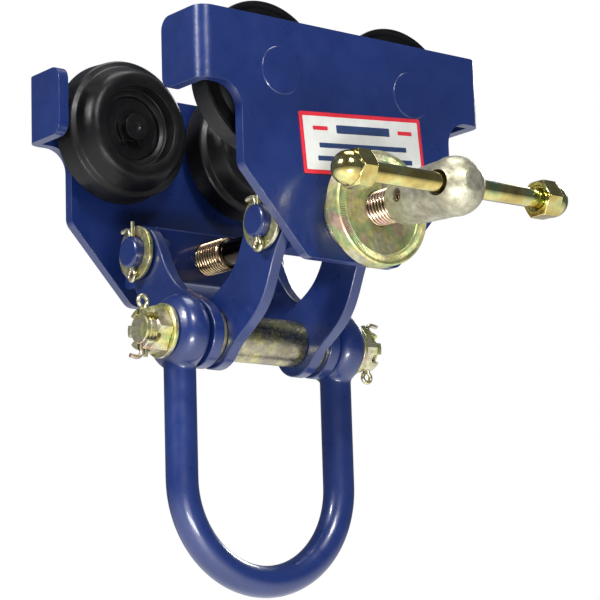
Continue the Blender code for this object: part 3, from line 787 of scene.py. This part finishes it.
def label():
    """The plate stuck a little askew beside the screw: white, red-edged, with plain bars for words."""
    left, top, wide, tall, tilt = -44.5, 12.0, 108.0, 42.5, math.radians(5)
    front, back = low("label_plate").y, high("label_plate").y

    def panel(name, x0, x1, z0, z1, rise, finish, radius=1.5):
        outline = rounded([(x0, -z0, radius), (x1, -z0, radius), (x1, -z1, radius), (x0, -z1, radius)], 4)
        made = add(name, prism(outline, "Y", front - rise, back), (left, 0, top), finish)
        made.rotation_euler.y = -tilt
        creased(made, 30)
        return made

    plate = panel("label_border", 0, wide, 0, tall, 0, "label_red")
    carry(plate, "front_side", "label", "label_plate")
    edge = 2.8
    face = panel("label_face", edge, wide - edge, edge, tall - edge, 0.06, "label_white", 0.8)
    carry(face, "front_side", "label")
    bars = [(0.29, 0.73, 8.2, 14.0, "label_blue"), (0.10, 0.22, 9.6, 12.4, "label_red"),
            (0.80, 0.92, 9.6, 12.4, "label_red"), (0.14, 0.86, 21.0, 24.4, "label_blue"),
            (0.12, 0.90, 30.0, 33.4, "label_blue")]
    for i, (start, stop, upper, lower, finish) in enumerate(bars):
        bar = panel(f"label_bar_{i}", start * wide, stop * wide, upper, lower, 0.1, finish, 0.5)
        carry(bar, "front_side", "label")


# ---------------------------------------------------------------- stage

AZIMUTH, ELEVATION, ROLL = -38.72, -10.62, -1.70      # degrees
BOLT_IN_VIEW = Vector((-29.12, -28.69, -1609.86))     # the bolt's middle as the camera sees it, mm
LENS = 137.0


def camera():
    """A long lens from below and to the left of the handle."""
    a, e, r = (math.radians(v) for v in (AZIMUTH, ELEVATION, ROLL))
    back = Vector((math.sin(a) * math.cos(e), -math.cos(a) * math.cos(e), math.sin(e)))
    right = Vector((math.cos(a), math.sin(a), 0))
    up = back.cross(right)
    right, up = right * math.cos(r) + up * math.sin(r), up * math.cos(r) - right * math.sin(r)
    turn = Matrix((right, up, back)).transposed()
    data = bpy.data.cameras.new("view")
    data.lens = LENS
    data.clip_start, data.clip_end = 0.05, 50
    made = bpy.data.objects.new("view", data)
    bpy.context.collection.objects.link(made)
    made.matrix_world = Matrix.Translation((BOLT - turn @ BOLT_IN_VIEW) * MM) @ turn.to_4x4()
    bpy.context.scene.camera = made


def softbox(name, place, aim, size, power):
    """A square soft light at a point in metres, turned to another."""
    data = bpy.data.lights.new(name, "AREA")
    data.shape = "RECTANGLE"
    data.size, data.size_y = size
    data.energy = power
    made = bpy.data.objects.new(name, data)
    bpy.context.collection.objects.link(made)
    made.location = place
    made.rotation_euler = (Vector(aim) - Vector(place)).to_track_quat("-Z", "Y").to_euler()


def studio():
    """A pale floor well below the hanging trolley, a white surround and soft lights."""
    bpy.ops.mesh.primitive_plane_add(size=12, location=(0, 0, -0.75))
    floor = bpy.context.object
    floor.name = "floor"
    paint = bpy.data.materials.new("floor")
    paint.use_nodes = True
    shader = paint.node_tree.nodes["Principled BSDF"].inputs
    shader["Base Color"].default_value = (0.86, 0.86, 0.86, 1)
    shader["Roughness"].default_value = 0.9
    shader["Emission Color"].default_value = (1, 1, 1, 1)
    shader["Emission Strength"].default_value = 0.3
    floor.data.materials.append(paint)
    world = bpy.data.worlds.new("studio")
    world.use_nodes = True
    bpy.context.scene.world = world
    tree = world.node_tree
    seen = tree.nodes["Background"]
    seen.inputs["Color"].default_value = (1, 1, 1, 1)
    lit = tree.nodes.new("ShaderNodeBackground")
    lit.inputs["Color"].default_value = (0.72, 0.82, 1.0, 1)
    lit.inputs["Strength"].default_value = 0.17
    path = tree.nodes.new("ShaderNodeLightPath")
    mix = tree.nodes.new("ShaderNodeMixShader")
    tree.links.new(path.outputs["Is Camera Ray"], mix.inputs["Fac"])
    tree.links.new(lit.outputs["Background"], mix.inputs[1])
    tree.links.new(seen.outputs["Background"], mix.inputs[2])
    tree.links.new(mix.outputs["Shader"], tree.nodes["World Output"].inputs["Surface"])
    centre = (0, 0, -0.08)
    softbox("front", (-0.5, -1.6, 1.0), centre, (0.5, 0.5), 31)
    softbox("left", (-1.7, -0.1, 0.9), centre, (0.4, 0.4), 38)
    softbox("top", (0.2, -0.1, 1.7), centre, (0.9, 0.9), 16)
    softbox("low", (-0.45, -0.9, -0.6), centre, (0.5, 0.14), 7)
    softbox("right", (1.7, 0.7, 0.8), centre, (0.5, 0.5), 14)
    bpy.context.scene.view_settings.view_transform = "Standard"


def main():
    """Dress every part of the frame, then light and view it."""
    make_materials()
    for place, side in Y_SIDES.items():
        side_plate(place, side)
        nut_block(place, side)
        for word, x_side in X_SIDES.items():
            wheel_set(place, side, word, x_side)
            link(place, side, word, x_side)
            node = f"{place}_{word}_pin_washer"
            washer(node + "_ring", "X", low(node).x, high(node).x, PIN_R + CLEAR, 19.5,
                   (0, side * PIN_Y, SCREW.z), place + "_side", node)
            cotter(f"{place}_{word}_pin_cotter", 90, 1, 11.8, 22, place + "_side")
    load_bolt()
    shackle()
    screw()
    tommy_bar()
    lock_nut()
    label()
    studio()
    camera()


main()
